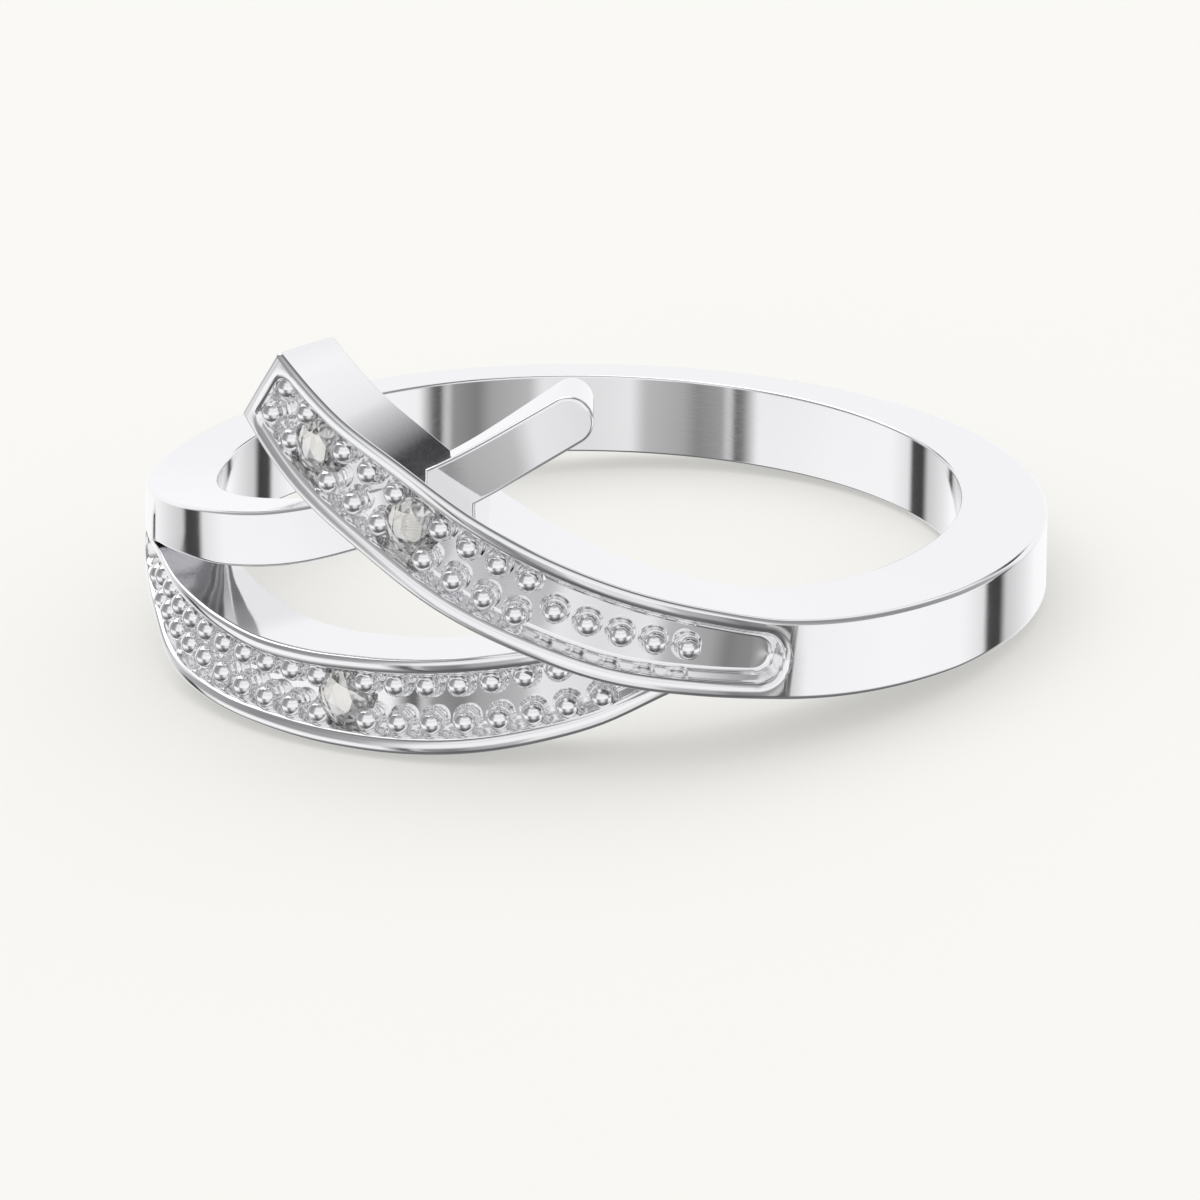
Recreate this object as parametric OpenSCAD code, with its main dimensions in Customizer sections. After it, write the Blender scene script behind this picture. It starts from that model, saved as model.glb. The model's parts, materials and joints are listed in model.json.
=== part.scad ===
// Crossover ring: a plain band whose two ends cross over the finger.
// The right end climbs as a channelled arm with two stones and raised beads.
// The left end forks into a plain strand, which passes under that arm and ends in a
// rounded tab, and a lower channelled arm with one stone, which joins the right end.
// Angles run round the finger hole from the middle of the head, positive to the right.
// The ring lies on its side, as it rests on a table.

/* [Finger hole] */
// Diameter of the finger hole
bore_d = 17.3; // [14:0.1:22]

/* [Band] */
// Height of the plain band along the finger
band_h = 1.9; // [1.4:0.05:2.8]
// Wall at the thinnest point, at the back
back_wall = 1.03; // [0.8:0.01:2]
// Wall at the thickest point, at the root of the upper arm
front_wall = 2.67; // [2.3:0.01:3.2]
// Angle of the thickest point
thick_angle = 32; // [10:1:50]
// Size of the bevel on the outer edges
edge_bevel = 0.12; // [0.04:0.01:0.2]

/* [Upper arm] */
// Rise of the middle of the arm's free end above the middle of the band
arm_rise = 5.8; // [4.5:0.1:7]
// Width of the arm across its channel
arm_w = 2.45; // [2.2:0.05:3]

/* [Strand and tab] */
// Rise of the tab's rounded end above the middle of the band
tab_rise = 6.2; // [5:0.1:7.5]
// Width of the plain strand
strand_w = 1.3; // [1:0.05:1.6]
// Wall of the plain strand
strand_wall = 1.7; // [1.3:0.05:2]
// Rise of the band's top edge where it forks
fork_lift = 0.47; // [0.3:0.01:0.7]

/* [Lower arm] */
// Depth of the arm's lower edge below the band's underside
lower_drop = 1.5; // [1:0.05:2]
// Width of the arm across its channel
lower_w = 2.3; // [2.1:0.05:2.7]
// Wall of the arm
lower_wall = 1.9; // [1.6:0.05:2.2]

/* [Channel] */
// Width of the rim on each side of a channel
rim_w = 0.42; // [0.25:0.01:0.5]
// Depth of a channel below the rim
channel_depth = 0.55; // [0.3:0.01:0.75]

/* [Beads] */
// Diameter of a bead
bead_d = 0.6; // [0.4:0.01:0.7]
// Height of a bead's top above the channel's floor
bead_h = 0.52; // [0.4:0.01:0.6]
// Distance between beads along an arm
bead_pitch = 0.82; // [0.75:0.01:1]
// Distance between the two rows of beads
row_gap = 0.87; // [0.75:0.01:1]

/* [Stones] */
// Diameter of a stone at its girdle
stone_d = 1.36; // [1.1:0.01:1.6]
// Height of a stone's girdle above the channel's floor
girdle_lift = 0.2; // [0.1:0.01:0.3]
// Gap between a stone and the metal round it
stone_gap = 0.03; // [0.02:0.005:0.06]

/* [Hidden] */
$fn = 48;

bore_r = bore_d / 2;
band_mid = band_h / 2;
// The band's outside is a circle set off from the bore towards thick_angle.
outer_r = bore_r + (back_wall + front_wall) / 2;
outer_shift = (front_wall - back_wall) / 2;

// Angles of the free ends, the fork, the lower arm's joint and the band's level stretch
arm_end = -24;
arm_root = 72;
tab_end = 22;
fork = -56;
joint = 36;
back = 180;
level_to = -86;
// Turn between two sections of an arm, of the band, and near the fork
arm_step = 3;
band_step = 6;
fork_step = 2;

// Upper arm: angle, share of arm_rise, share of the added width, share of the wall
ARM = [
    [arm_end, 1, 0.42, 0.83],
    [-14, 0.786, 0.8, 0.865],
    [-4, 0.616, 1, 0.885],
    [6, 0.44, 1, 0.935],
    [16, 0.301, 0.84, 0.99],
    [26, 0.186, 0.69, 1.01],
    [36, 0.11, 0.32, 1.01],
    [46, 0.05, 0, 1.01],
    [56, 0.018, 0, 1.005],
    [arm_root, 0, 0, 1]
];

// Strand: angle, share of the climb from the fork to the tab, share of the added
// width, share of strand_wall
STRAND = [
    [fork, 0, 0, 1],
    [-44, 0.069, 0.42, 1],
    [-32, 0.145, 1, 1],
    [-20, 0.251, 1, 0.99],
    [-8, 0.409, 0.65, 0.98],
    [4, 0.613, 0.45, 0.96],
    [16, 0.87, 0.3, 0.93],
    [tab_end, 1, 0.3, 0.92]
];

// Band near the fork: angle, share of fork_lift, share of lower_drop
FORK = [
    [-180, 0, 0],
    [level_to, 0, 0],
    [-80, 0.03, 0],
    [-74, 0.14, 0],
    [-68, 0.35, 0],
    [-64, 0.55, 0],
    [-62, 0.65, 0.015],
    [-60, 0.76, 0.08],
    [-58, 0.88, 0.17],
    [fork, 1, 0.26]
];

// Lower arm: angle, share of lower_drop, share of the joint's height, and of its own
// height the shares of the fork's, of lower_w and of the joint's, then how far its
// wall has grown from strand_wall to lower_wall
LOWER = [
    [fork, 0.26, 0, 1, 0, 0, 0],
    [-54, 0.35, 0, 0.79, 0.21, 0, 0.02],
    [-52, 0.46, 0, 0.56, 0.43, 0, 0.07],
    [-50, 0.58, 0, 0.36, 0.63, 0, 0.16],
    [-48, 0.69, 0, 0.2, 0.785, 0, 0.28],
    [-44, 0.815, 0, 0.06, 0.915, 0, 0.5],
    [-40, 0.88, 0, 0, 0.965, 0, 0.68],
    [-32, 0.955, 0, 0, 0.948, 0, 0.93],
    [-24, 0.987, 0, 0, 0.92, 0, 1],
    [-16, 1, 0, 0, 0.943, 0, 1],
    [-8, 0.975, 0, 0, 0.978, 0, 1],
    [0, 0.927, 0.05, 0, 1, 0, 1],
    [8, 0.82, 0.13, 0, 1.01, 0, 1],
    [16, 0.657, 0.3, 0, 0.903, 0.1, 1],
    [24, 0.435, 0.52, 0, 0.568, 0.45, 1],
    [32, 0.118, 0.85, 0, 0.09, 0.9, 1],
    [joint, 0, 1, 0, 0, 1, 1]
];

// Rows in the lower arm: angle, share of rim_w, share of row_gap, and how far the
// rows lie below the arm's middle as a share of its width
ROWS = [
    [back - 360, 0.5, 0.74, 0.16],
    [-62, 0.5, 0.74, 0.16],
    [fork, 0.5, 0.74, 0.14],
    [-50, 0.55, 0.74, 0.03],
    [-44, 0.65, 0.74, 0],
    [-38, 0.78, 0.76, -0.02],
    [-32, 0.88, 0.85, 0],
    [-28, 0.93, 0.94, 0],
    [-20, 1, 1, 0],
    [-12, 1, 1.03, 0],
    [joint, 1, 1.03, 0]
];

// Angle by which the arms' inner faces open out from the finger
arm_flare = 0.5;

// Ends of the two channels, and how their corners are rounded
arm_channel_from = arm_end;
arm_channel_to = 45.4;
lower_channel_from = -65;
lower_channel_to = 30;
end_rim = 0.42;
corner_r = 0.3;

// Beads, counted from the arm's free end and from the lower arm's fork
ARM_RUNS = [2, 3, 4];
ARM_SINGLES = 5;
first_bead = 0.62;
LOWER_LEFT = 10;
LOWER_RIGHT = 8;
lower_stone_angle = -11;

// Room between hidden surfaces that must not fall together
inset = 0.08;
bore_spare = 0.3;
least_lean = 0.5;

// Length over which two walls blend, and half widths left at a tab's and a channel's end
wall_blend = 0.12;
tip = 0.05;
slit = 0.02;

// Smooth curve through a table's rows

function row_at(t, x, i = 0) = (i >= len(t) - 2 || x < t[i + 1][0]) ? i : row_at(t, x, i + 1);

function lean_at(t, c, i) =
    let (
        a = max(i - 1, 0),
        b = min(i + 1, len(t) - 1),
        turns = a < i && b > i && (t[i][c] - t[a][c]) * (t[b][c] - t[i][c]) <= 0
    )
    turns ? 0 : (t[b][c] - t[a][c]) / (t[b][0] - t[a][0]);

function smooth(t, c, x) =
    let (
        i = row_at(t, x),
        h = t[i + 1][0] - t[i][0],
        u = min(1, max(0, (x - t[i][0]) / h)),
        v = 1 - u
    )
    t[i][c] * v * v * (1 + 2 * u) + t[i + 1][c] * u * u * (3 - 2 * u)
    + h * u * v * (v * lean_at(t, c, i) - u * lean_at(t, c, i + 1));

// Radius of the band's outside at an angle
function band_r(a) =
    outer_shift * cos(a - thick_angle)
    + sqrt(outer_r * outer_r - pow(outer_shift * sin(a - thick_angle), 2));

function soft_min(a, b, k) =
    let (h = max(k - abs(a - b), 0) / k)
    min(a, b) - h * h * k / 4;

// Each strip gives, at an angle, the height of its middle, its width and its radius

function arm_mid(a) = band_mid + arm_rise * smooth(ARM, 1, a);
function arm_width(a) = band_h + (arm_w - band_h) * smooth(ARM, 2, a);
function arm_r(a) = bore_r + (band_r(a) - bore_r) * smooth(ARM, 3, a);

function trunk_top(a) = band_h + fork_lift * smooth(FORK, 1, a);
function trunk_low(a) = -lower_drop * smooth(FORK, 2, a);
function trunk_r(a) = bore_r + soft_min(band_r(a) - bore_r, strand_wall, wall_blend);

fork_z = 0.66 * band_h;
strand_start = (trunk_top(fork) + fork_z) / 2;
strand_start_w = trunk_top(fork) - fork_z;
fork_r = trunk_r(fork);

function strand_mid(a) =
    strand_start + (band_mid + tab_rise - strand_start) * smooth(STRAND, 1, a);
function strand_width(a) =
    strand_start_w + (strand_w - strand_start_w) * smooth(STRAND, 2, a);
function strand_r(a) = bore_r + (fork_r - bore_r) * smooth(STRAND, 3, a);

joint_low = arm_mid(joint) - arm_width(joint) / 2 + inset;
joint_h = arm_width(joint) - 2 * inset;
fork_h = fork_z - trunk_low(fork);

function lower_low(a) =
    joint_low * smooth(LOWER, 2, a) - lower_drop * smooth(LOWER, 1, a);
function lower_h(a) =
    fork_h * smooth(LOWER, 3, a) + lower_w * smooth(LOWER, 4, a)
    + joint_h * smooth(LOWER, 5, a);
function lower_mid(a) = lower_low(a) + lower_h(a) / 2;
function lower_r(a) = fork_r + (bore_r + lower_wall - fork_r) * smooth(LOWER, 6, a);

// Strips by number, so that one set of functions sweeps them all
upper = 0;
strand = 1;
lower = 2;
trunk = 3;

function mid_z(k, a) =
    k == upper ? arm_mid(a)
    : k == strand ? strand_mid(a)
    : k == lower ? (a < fork ? (fork_z + trunk_low(a)) / 2 : lower_mid(a))
    : (trunk_top(a) + trunk_low(a)) / 2;

function radius(k, a) =
    k == upper ? arm_r(a)
    : k == strand ? strand_r(a)
    : k == lower ? (a < fork ? trunk_r(a) : lower_r(a))
    : trunk_r(a);

// Climb of a strip's middle line, in degrees, taken within the strip's ends
function climb(k, a) =
    let (
        from = k == upper ? arm_end : k == strand ? fork : back - 360,
        to = k == upper ? back : k == strand ? tab_end : k == lower ? joint : fork,
        b = min(max(a, from + 0.5), to - 0.5)
    )
    atan2(mid_z(k, b + 0.5) - mid_z(k, b - 0.5), radius(k, b) * PI / 180);

// Width square to the strip
function width(k, a) =
    k == upper ? arm_width(a)
    : k == strand ? strand_width(a)
    : k == lower ? (a < fork ? fork_z - trunk_low(a) : lower_h(a)) * cos(climb(k, a))
    : (trunk_top(a) - trunk_low(a)) * cos(climb(k, a));

// Lean of a section: upright at the band and the fork, square to the strip further on.
// It is at least least_lean where a strip climbs, so that no edge points straight at the
// finger hole's axis.
function lean(k, a) =
    k == upper ? min(1, max(0, (arm_root - a) / 30)) * climb(k, a) - (a < arm_root ? least_lean : 0)
    : k == strand ? min(1, max(0, (a - fork) / 30)) * climb(k, a) + least_lean
    : k == trunk && a <= level_to ? 0
    : least_lean;

// A point on a strip: angle, distance across from its middle line, radius
function on_strip(k, a, v, r, tilt) =
    let (b = a - v * sin(tilt) / radius(k, a) * 180 / PI)
    [r * sin(b), -r * cos(b), mid_z(k, a) + v * cos(tilt)];

// One section: half width and bevel, from the inside bottom round to the inside top
function section(k, a, half, inner) =
    let (
        s = climb(k, a),
        t = lean(k, a),
        h = half / cos(s - t),
        r = radius(k, a),
        e = min(edge_bevel, half / 2)
    )
    [
        on_strip(k, a, -h, inner, t),
        on_strip(k, a, -h, r - e, t),
        on_strip(k, a, -h + e, r, t),
        on_strip(k, a, h - e, r, t),
        on_strip(k, a, h, r - e, t),
        on_strip(k, a, h, inner, t)
    ];

function steps(from, to, step) =
    let (n = max(1, round(abs(to - from) / step)))
    [for (i = [0:n]) from + (to - from) * i / n];

// Half width near the tab's end, which is a half circle
function tab_half(a) =
    let (
        full = width(strand, a) / 2,
        left = (tab_end - a) * radius(strand, a) * PI / 180 / cos(climb(strand, a))
    )
    left >= full ? full : sqrt(max(tip * tip, full * full - pow(full - left, 2)));

function tail(list) = [for (i = [1:len(list) - 1]) list[i]];

arm_angles = concat(
    steps(arm_end, arm_root, arm_step),
    tail(steps(arm_root, back, band_step))
);
trunk_angles = concat(
    steps(back - 360, level_to, band_step),
    tail(steps(level_to, fork, fork_step))
);
tab_round = strand_w / 2 / radius(strand, tab_end) * 180 / PI;
strand_angles = concat(
    steps(fork, tab_end - tab_round, arm_step),
    [for (i = [1:6]) tab_end - tab_round * (1 - sin(15 * i))]
);
lower_angles = concat(
    steps(fork, -44, fork_step),
    tail(steps(-44, joint, arm_step))
);

// Sections reach inside the finger hole, by amounts that differ where strips overlap
function sections(k, spare = bore_spare) =
    k == upper ? [for (a = arm_angles) section(k, a, width(k, a) / 2, bore_r - spare)]
    : k == strand ? [for (a = strand_angles) section(k, a, tab_half(a), bore_r - 2 * spare)]
    : k == lower ? [for (a = lower_angles) section(k, a, width(k, a) / 2, bore_r - 2 * spare)]
    : [for (a = trunk_angles) section(k, a, width(k, a) / 2, bore_r - spare)];

// Solid swept through sections that all have the same number of points
module sweep(rows) {
    n = len(rows[0]);
    last = (len(rows) - 1) * n;
    sides = [
        for (i = [0:len(rows) - 2], j = [0:n - 1])
            let (a = i * n + j, b = i * n + (j + 1) % n)
            [[a, b, b + n], [a, b + n, a + n]]
    ];
    polyhedron(
        points = [for (row = rows, p = row) p],
        faces = concat(
            [[for (j = [n - 1:-1:0]) j]],
            [[for (j = [0:n - 1]) last + j]],
            [for (s = sides, f = s) f]
        ),
        convexity = 10
    );
}

// How the ring lies: on the lower arm's inner edge and on the far side of the band

low_angle = -11;
rest_side = -38;
rest_drop = -lower_low(low_angle);
rest_tilt = atan2(
    rest_drop,
    band_r(rest_side + 180) - edge_bevel + bore_r * cos(low_angle - rest_side)
);
up_side = [sin(rest_side), -cos(rest_side), 0];
across = cross(up_side, [0, 0, 1]);

function turned(p) =
    p * cos(rest_tilt) + cross(across, p) * sin(rest_tilt)
    + across * (across * p) * (1 - cos(rest_tilt));

outline = [for (k = [upper, strand, lower, trunk], row = sections(k, 0), p = row) turned(p)];
lowest = min([for (p = outline) p[2]]);
middle_x = (min([for (p = outline) p[0]]) + max([for (p = outline) p[0]])) / 2;
middle_y = (min([for (p = outline) p[1]]) + max([for (p = outline) p[1]])) / 2;

module at_rest() {
    translate([-middle_x, -middle_y, -lowest]) rotate(a = rest_tilt, v = across) children();
}

// A channel: half width at a distance along it, with rounded ends

function arc_left(k, a, end) =
    abs(end - a) * radius(k, (a + end) / 2) * PI / 180 / cos(climb(k, (a + end) / 2));

function round_end(half, left, r) =
    left >= r ? half : half - r + sqrt(max(0, r * r - pow(r - left, 2)));

function floor_r(k, a) = radius(k, a) - channel_depth;

function channel_row(k, a, half) =
    let (
        s = climb(k, a),
        top = radius(k, a) + channel_depth
    )
    [
        on_strip(k, a, -half, floor_r(k, a), s),
        on_strip(k, a, -half, top, s),
        on_strip(k, a, half, top, s),
        on_strip(k, a, half, floor_r(k, a), s)
    ];

// Angle reached after a distance along a strip's middle line
function after(k, a, d) =
    let (
        rate = PI / 180 * radius(k, a) / cos(climb(k, a)),
        m = a + d / rate / 2
    )
    a + d / (PI / 180 * radius(k, m) / cos(climb(k, m)));

function rim(k, a) = rim_w * (k == lower ? smooth(ROWS, 1, a) : 1);
function channel_half(k, a) = width(k, a) / 2 - rim(k, a);

// Channel from a squared end to a half-round end; close to each end the sections draw together
module channel(k, from, square_r, to, round_to) {
    way = sign(to - from);
    r_to = channel_half(k, to);
    first = [for (i = [0:4]) after(k, from, way * square_r * (1 - cos(22.5 * i)))];
    final = [for (i = [1:7]) after(k, to, -way * r_to * (1 - sin(90 * i / 7 - 90 / 7)))];
    inner = steps(first[4], final[0], arm_step);
    last_angles = round_to ? final : [to];
    angles = concat(first, tail(inner), tail(last_angles));
    count = len(angles);
    rows = [
        for (i = [0:count - 1])
            let (
                a = way > 0 ? angles[i] : angles[count - 1 - i],
                half = channel_half(k, a),
                near = round_end(half, arc_left(k, a, from), square_r),
                far = round_to ? round_end(half, arc_left(k, a, to), half) : half
            )
            channel_row(k, a, max(slit, min(near, far)))
    ];
    sweep(rows);
}

// Beads and stones stand square to the floor

module stand(k, a, v = 0) {
    s = climb(k, a);
    b = a - v * sin(s) / radius(k, a) * 180 / PI;
    translate([0, 0, mid_z(k, a) + v * cos(s)])
        rotate([0, 90, b - 90])
            translate([0, 0, floor_r(k, a)])
                children();
}

module bead() {
    rotate_extrude() intersection() {
        union() {
            translate([0, bead_h - bead_d / 2]) circle(d = bead_d);
            translate([0, -inset]) square([bead_d / 2, bead_h - bead_d / 2 + inset]);
        }
        translate([0, -bead_d]) square([bead_d, 3 * bead_d]);
    }
}

// Place across a strip of the beads of one row: side is -1, 0 or 1
function across_strip(k, a, side) =
    k == lower
        ? side * row_gap / 2 * smooth(ROWS, 2, a) - lower_w * smooth(ROWS, 3, a)
        : side * row_gap / 2;

module beads(k, a, sides) {
    for (side = sides) stand(k, a, across_strip(k, a, side)) bead();
}

// Angles of a row that starts at an angle, with a list of gaps between its members
function walk(k, a, gaps, i = 0) =
    i == len(gaps) ? [a] : concat([a], walk(k, after(k, a, gaps[i]), gaps, i + 1));

// A stone takes the place of the ordinary gap
arm_gaps = concat(
    [for (i = [1:ARM_RUNS[0] - 1]) bead_pitch],
    [stone_d],
    [for (i = [1:ARM_RUNS[1] - 1]) bead_pitch],
    [stone_d],
    [for (i = [1:ARM_RUNS[2] - 1 + ARM_SINGLES]) bead_pitch]
);
arm_bead_angles = walk(upper, after(upper, arm_end, first_bead), arm_gaps);
arm_pairs = ARM_RUNS[0] + ARM_RUNS[1] + ARM_RUNS[2];
lower_left_angles = walk(
    lower,
    after(lower, lower_stone_angle, -stone_d / 2),
    [for (i = [1:LOWER_LEFT - 1]) -bead_pitch]
);
lower_right_angles = walk(
    lower,
    after(lower, lower_stone_angle, stone_d / 2),
    [for (i = [1:LOWER_RIGHT - 1]) bead_pitch]
);

lower_last_angle = after(lower, lower_left_angles[LOWER_LEFT - 1], -bead_pitch);

function between(k, a) = after(k, a, stone_d / 2);
stone_end_angle = between(upper, arm_bead_angles[ARM_RUNS[0] - 1]);
stone_middle_angle = between(upper, arm_bead_angles[ARM_RUNS[0] + ARM_RUNS[1] - 1]);

// Round brilliant: table, crown, girdle and a pavilion that ends in a point

table_share = 0.57;
crown_share = 0.15;
girdle_share = 0.03;
pavilion_share = 0.43;
star_share = 0.5;

function ring_of(n, r, z, turn) = [for (i = [0:n - 1]) [r * cos(360 * i / n + turn), r * sin(360 * i / n + turn), z]];

module brilliant() {
    r = stone_d / 2;
    crown = stone_d * crown_share;
    band = stone_d * girdle_share / 2;
    deep = stone_d * pavilion_share;
    star_r = r * (table_share + (1 - table_share) * star_share);
    hull() polyhedron(
        points = concat(
            ring_of(8, r * table_share, band + crown, 0),
            ring_of(8, star_r, band + crown * (1 - star_share) * 1.12, 22.5),
            ring_of(16, r, band, 11.25),
            ring_of(16, r, -band, 11.25),
            ring_of(8, r * 0.42, -band - deep * 0.56, 0),
            [[0, 0, -band - deep]]
        ),
        faces = [[for (i = [0:7]) i], [for (i = [8:15]) i], [for (i = [16:31]) i], [for (i = [32:47]) i], [for (i = [48:55]) i], [56, 0, 8]]
    );
}

module stone(k, a) {
    at_rest() stand(k, a) translate([0, 0, girdle_lift]) brilliant();
}

// Clearance round a stone: its own form grown by the gap, with flat sides towards the rims
module stone_room() {
    sides = 12;
    turn = 180 / sides;
    r = (stone_d / 2 + stone_gap) / cos(180 / sides);
    table_r = r - stone_d / 2 * (1 - table_share);
    band = stone_d * girdle_share / 2;
    crown = stone_d * crown_share;
    deep = stone_d * pavilion_share + 2 * stone_gap;
    translate([0, 0, girdle_lift]) sweep([
        ring_of(sides, stone_gap / 2, -band - deep, turn),
        ring_of(sides, r, -band, turn),
        ring_of(sides, r, band, turn),
        ring_of(sides, table_r, band + crown + stone_gap, turn)
    ]);
}

module upper_metal() {
    difference() {
        sweep(sections(upper));
        channel(upper, after(upper, arm_end, end_rim), corner_r, arm_channel_to, true);
    }
}

module lower_metal() {
    difference() {
        union() {
            sweep(sections(trunk));
            sweep(sections(strand));
            sweep(sections(lower));
        }
        channel(lower, lower_channel_to, corner_r, lower_channel_from, true);
    }
}

module all_beads() {
    for (i = [0:len(arm_bead_angles) - 1])
        beads(upper, arm_bead_angles[i], i < arm_pairs ? [-1, 1] : [0]);
    for (a = concat(lower_left_angles, lower_right_angles)) beads(lower, a, [-1, 1]);
    beads(lower, lower_last_angle, [0]);
}

module stone_rooms() {
    stand(upper, stone_end_angle) stone_room();
    stand(upper, stone_middle_angle) stone_room();
    stand(lower, lower_stone_angle) stone_room();
}

// Straight through the band, then opening out a little past the arms
module finger_hole() {
    far = 5 * band_h;
    wide_r = bore_r + far * tan(arm_flare);
    rotate_extrude($fn = 96) polygon([
        [0, -far],
        [wide_r, -far],
        [bore_r, 0],
        [bore_r, band_h],
        [wide_r, band_h + far],
        [0, band_h + far]
    ]);
}

module ring_metal() {
    color("silver") at_rest() difference() {
        union() {
            upper_metal();
            lower_metal();
            all_beads();
        }
        finger_hole();
        stone_rooms();
    }
}

module stone_arm_end() { color("white") stone(upper, stone_end_angle); }
module stone_arm_middle() { color("white") stone(upper, stone_middle_angle); }
module stone_lower_arm() { color("white") stone(lower, lower_stone_angle); }

ring_metal();
stone_arm_end();
stone_arm_middle();
stone_lower_arm();
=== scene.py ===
"""Crossover ring in polished silver-white metal, lying on its side on a pale table.

The metal is one piece: a band that climbs as a channelled upper arm, a plain strand that passes
under it, and a channelled lower arm, with raised beads. Three round brilliants sit in the channels.
Angles run round the finger hole from the middle of the head, positive to the right, as in the part.
"""

import json
import math

import bpy
from mathutils import Matrix, Vector


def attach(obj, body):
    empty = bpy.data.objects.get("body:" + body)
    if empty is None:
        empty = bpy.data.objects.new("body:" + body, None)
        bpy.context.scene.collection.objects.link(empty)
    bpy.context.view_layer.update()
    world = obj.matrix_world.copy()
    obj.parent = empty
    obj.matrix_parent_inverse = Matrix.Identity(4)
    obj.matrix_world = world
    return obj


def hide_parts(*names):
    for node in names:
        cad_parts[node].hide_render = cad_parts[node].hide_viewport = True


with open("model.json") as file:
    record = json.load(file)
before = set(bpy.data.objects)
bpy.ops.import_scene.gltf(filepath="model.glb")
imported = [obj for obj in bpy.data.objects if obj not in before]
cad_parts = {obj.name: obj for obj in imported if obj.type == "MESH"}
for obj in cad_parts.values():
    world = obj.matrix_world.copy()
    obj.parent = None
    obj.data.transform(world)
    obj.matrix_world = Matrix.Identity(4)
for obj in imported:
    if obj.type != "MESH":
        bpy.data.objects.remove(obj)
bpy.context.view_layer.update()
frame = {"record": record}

MM = 0.001

# Sizes of the part, in millimetres and degrees; a SHARE is a share of the size it names
BORE_R = 8.65
BAND_H = 1.9
BAND_MID = BAND_H / 2
BACK_WALL = 1.03
FRONT_WALL = 2.67
THICK_ANGLE = 32
ARM_RISE = 5.8
ARM_W = 2.45
TAB_RISE = 6.2
STRAND_W = 1.3
STRAND_WALL = 1.7
FORK_LIFT = 0.47
FORK_SHARE = 0.66
LOWER_DROP = 1.5
LOWER_W = 2.3
LOWER_WALL = 1.9
RIM_W = 0.42
CHANNEL_DEPTH = 0.55
BEAD_D = 0.6
BEAD_H = 0.52
BEAD_PITCH = 0.82
ROW_GAP = 0.87
STONE_D = 1.36
GIRDLE_LIFT = 0.2
ARM_FLARE = 0.5

OUTER_R = BORE_R + (BACK_WALL + FRONT_WALL) / 2
OUTER_SHIFT = (FRONT_WALL - BACK_WALL) / 2
INSET = 0.08
WALL_BLEND = 0.12

# Angles of the ends, the fork and the joint
ARM_END = -24
ARM_ROOT = 72
TAB_END = 22
FORK = -56
JOINT = 36
SPLIT = -100

# Upper arm: angle, shares of the rise, of the added width and of the wall
ARM = [
    (ARM_END, 1, 0.42, 0.83),
    (-14, 0.786, 0.8, 0.865),
    (-4, 0.616, 1, 0.885),
    (6, 0.44, 1, 0.935),
    (16, 0.301, 0.84, 0.99),
    (26, 0.186, 0.69, 1.01),
    (36, 0.11, 0.32, 1.01),
    (46, 0.05, 0, 1.01),
    (56, 0.018, 0, 1.005),
    (ARM_ROOT, 0, 0, 1),
]

# Strand: angle, shares of the climb, of the added width and of the wall
STRAND = [
    (FORK, 0, 0, 1),
    (-44, 0.069, 0.42, 1),
    (-32, 0.145, 1, 1),
    (-20, 0.251, 1, 0.99),
    (-8, 0.409, 0.65, 0.98),
    (4, 0.613, 0.45, 0.96),
    (16, 0.87, 0.3, 0.93),
    (TAB_END, 1, 0.3, 0.92),
]

# Band near the fork: angle, share of the lift, share of the drop
FORK_RISE = [
    (-180, 0, 0),
    (-86, 0, 0),
    (-80, 0.03, 0),
    (-74, 0.14, 0),
    (-68, 0.35, 0),
    (-64, 0.55, 0),
    (-62, 0.65, 0.015),
    (-60, 0.76, 0.08),
    (-58, 0.88, 0.17),
    (FORK, 1, 0.26),
]

# Lower arm: angle, shares of the drop and of the joint's height, shares of the fork's height,
# of its own width and of the joint's, and how far its wall has grown
LOWER = [
    (FORK, 0.26, 0, 1, 0, 0, 0),
    (-54, 0.35, 0, 0.79, 0.21, 0, 0.02),
    (-52, 0.46, 0, 0.56, 0.43, 0, 0.07),
    (-50, 0.58, 0, 0.36, 0.63, 0, 0.16),
    (-48, 0.69, 0, 0.2, 0.785, 0, 0.28),
    (-44, 0.815, 0, 0.06, 0.915, 0, 0.5),
    (-40, 0.88, 0, 0, 0.965, 0, 0.68),
    (-32, 0.955, 0, 0, 0.948, 0, 0.93),
    (-24, 0.987, 0, 0, 0.92, 0, 1),
    (-16, 1, 0, 0, 0.943, 0, 1),
    (-8, 0.975, 0, 0, 0.978, 0, 1),
    (0, 0.927, 0.05, 0, 1, 0, 1),
    (8, 0.82, 0.13, 0, 1.01, 0, 1),
    (16, 0.657, 0.3, 0, 0.903, 0.1, 1),
    (24, 0.435, 0.52, 0, 0.568, 0.45, 1),
    (32, 0.118, 0.85, 0, 0.09, 0.9, 1),
    (JOINT, 0, 1, 0, 0, 1, 1),
]

# Rows in the lower arm: angle, share of the rim, share of the row gap, drop as a share of the width
ROWS = [
    (-180, 0.5, 0.74, 0.16),
    (-62, 0.5, 0.74, 0.16),
    (FORK, 0.5, 0.74, 0.14),
    (-50, 0.55, 0.74, 0.03),
    (-44, 0.65, 0.74, 0),
    (-38, 0.78, 0.76, -0.02),
    (-32, 0.88, 0.85, 0),
    (-28, 0.93, 0.94, 0),
    (-20, 1, 1, 0),
    (-12, 1, 1.03, 0),
    (JOINT, 1, 1.03, 0),
]

# Channels: where each starts and ends, the corner radius of a square end, and one that is past
# any channel's half width, which makes an end fully round
ARM_CHANNEL_END_RIM = 0.42
ARM_CHANNEL_TO = 45.4
LOWER_CHANNEL_FROM = -65
CORNER_R = 0.3
FULL_ROUND = 9

# A distance inside a channel's outline that is always on its floor
ON_FLOOR = 1

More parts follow.
